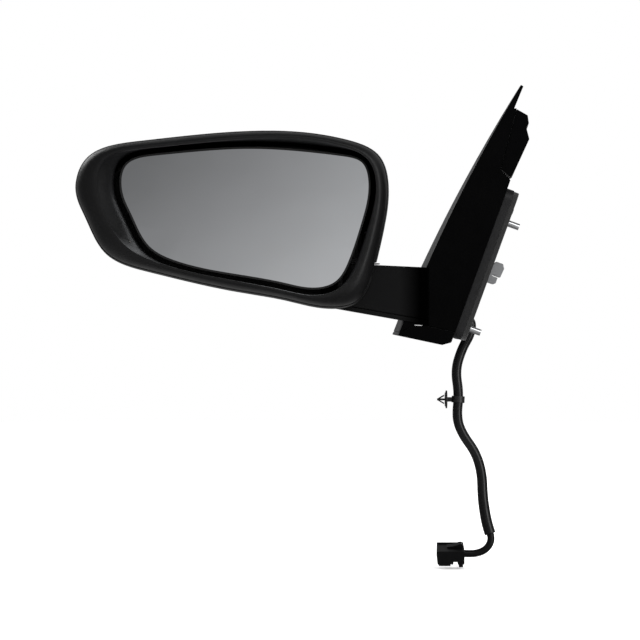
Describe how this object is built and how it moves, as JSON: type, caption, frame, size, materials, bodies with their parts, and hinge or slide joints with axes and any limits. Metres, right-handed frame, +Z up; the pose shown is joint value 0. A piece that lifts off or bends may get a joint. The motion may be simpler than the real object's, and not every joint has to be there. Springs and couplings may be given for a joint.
{
  "type": "car door mirror",
  "caption": "Left-hand car door mirror with a folding head, tilting convex glass, triangular sail base with studs and gasket, and a hanging wiring harness with plug.",
  "frame": {"origin": "centre of the circle of three studs, on the face of the gasket that meets the door", "axes": "+Z up, +X inboard towards the car, +Y vehicle forward; the glass faces -Y; the studs leave along +X leaning down by 20 degrees"},
  "size_m": [0.3415, 0.2, 0.3674],
  "materials": {
    "satin_black": "satin moulded black with a fine grain",
    "textured_black": "matte black, finely textured",
    "frame_plastic": "glass-filled black nylon",
    "white_plastic": "natural acetal",
    "pom": "natural acetal, slick",
    "cast_alloy": "die-cast, sandblasted and coated dark grey",
    "stud_steel": "zinc-plated steel",
    "screw_steel": "zinc-plated",
    "sintered_steel": "sintered steel",
    "spring_steel": "phosphated spring wire",
    "motor_steel": "drawn steel can",
    "foam": "closed-cell foam",
    "rubber": "moulded rubber",
    "grey_plastic": "mid-grey acetal",
    "clip_plastic": "black nylon",
    "plug_plastic": "black glass-filled polyester",
    "contact_tin": "tin-plated copper",
    "tape": "cloth-taped loom",
    "lead_jacket": "satin black jacket",
    "sleeve_tube": "smooth black tube",
    "heater_film": "printed film",
    "mirror": "silvered glass, second-surface"
  },
  "bodies": {
    "base": {"base_bracket": "cast_alloy", "foam_gasket": "foam", "mounting_studs": "stud_steel", "locator_pins": "grey_plastic", "retaining_clip": "grey_plastic", "cover_screws": "screw_steel", "sail_cover": "textured_black", "base_lower_cover": "textured_black", "arm_cover_upper": "satin_black", "arm_cover_lower": "satin_black", "upper_seal": "foam", "pivot_post": "stud_steel", "detent_ring": "sintered_steel", "fold_washer": "clip_plastic", "fold_spring": "spring_steel", "spring_retainer": "stud_steel", "base_loom": "tape", "harness_grommet": "rubber", "harness_lead": "lead_jacket", "harness_sleeve": "sleeve_tube", "harness_clip": "clip_plastic", "plug_housing": "plug_plastic", "plug_latch": "plug_plastic", "plug_contacts": "contact_tin"},
    "head": {"head_frame": "frame_plastic", "head_cap": "satin_black", "head_bezel": "satin_black", "bezel_screws": "screw_steel", "actuator_body": "white_plastic", "actuator_cover": "white_plastic", "actuator_screws": "screw_steel", "tilt_motors": "motor_steel", "head_loom": "tape"},
    "tilt_ring": {"tilt_ring": "pom", "yaw_pin": "stud_steel", "pitch_pins": "stud_steel"},
    "glass": {"glass_carrier": "frame_plastic", "heater_pad": "heater_film", "mirror_glass": "mirror"},
    "yaw_plunger": {"yaw_plunger": "pom"},
    "pitch_plunger": {"pitch_plunger": "pom"}
  },
  "joints": [
    {"name": "fold", "type": "hinge", "parent": "base", "child": "head", "pos_m": [-0.103, -0.02, 0.02], "axis": [0, 0, 1], "range_deg": [-40, 36]},
    {"name": "glass_yaw", "type": "hinge", "parent": "head", "child": "tilt_ring", "pos_m": [-0.184, -0.052, 0.0425], "axis": [0, 0, 1], "range_deg": [-7.5, 7.5]},
    {"name": "glass_pitch", "type": "hinge", "parent": "tilt_ring", "child": "glass", "pos_m": [-0.184, -0.052, 0.0425], "axis": [1, 0, 0], "range_deg": [-7.5, 7.5]},
    {"name": "yaw_screw", "type": "slide", "parent": "head", "child": "yaw_plunger", "axis": [0, 1, 0], "range_m": [-0.003, 0.003]},
    {"name": "pitch_screw", "type": "slide", "parent": "head", "child": "pitch_plunger", "axis": [0, 1, 0], "range_m": [-0.003, 0.003]}
  ],
  "couplings": [
    {"joint": "yaw_screw", "follows": "glass_yaw", "m_per_rad": -0.022},
    {"joint": "pitch_screw", "follows": "glass_pitch", "m_per_rad": 0.022}
  ]
}
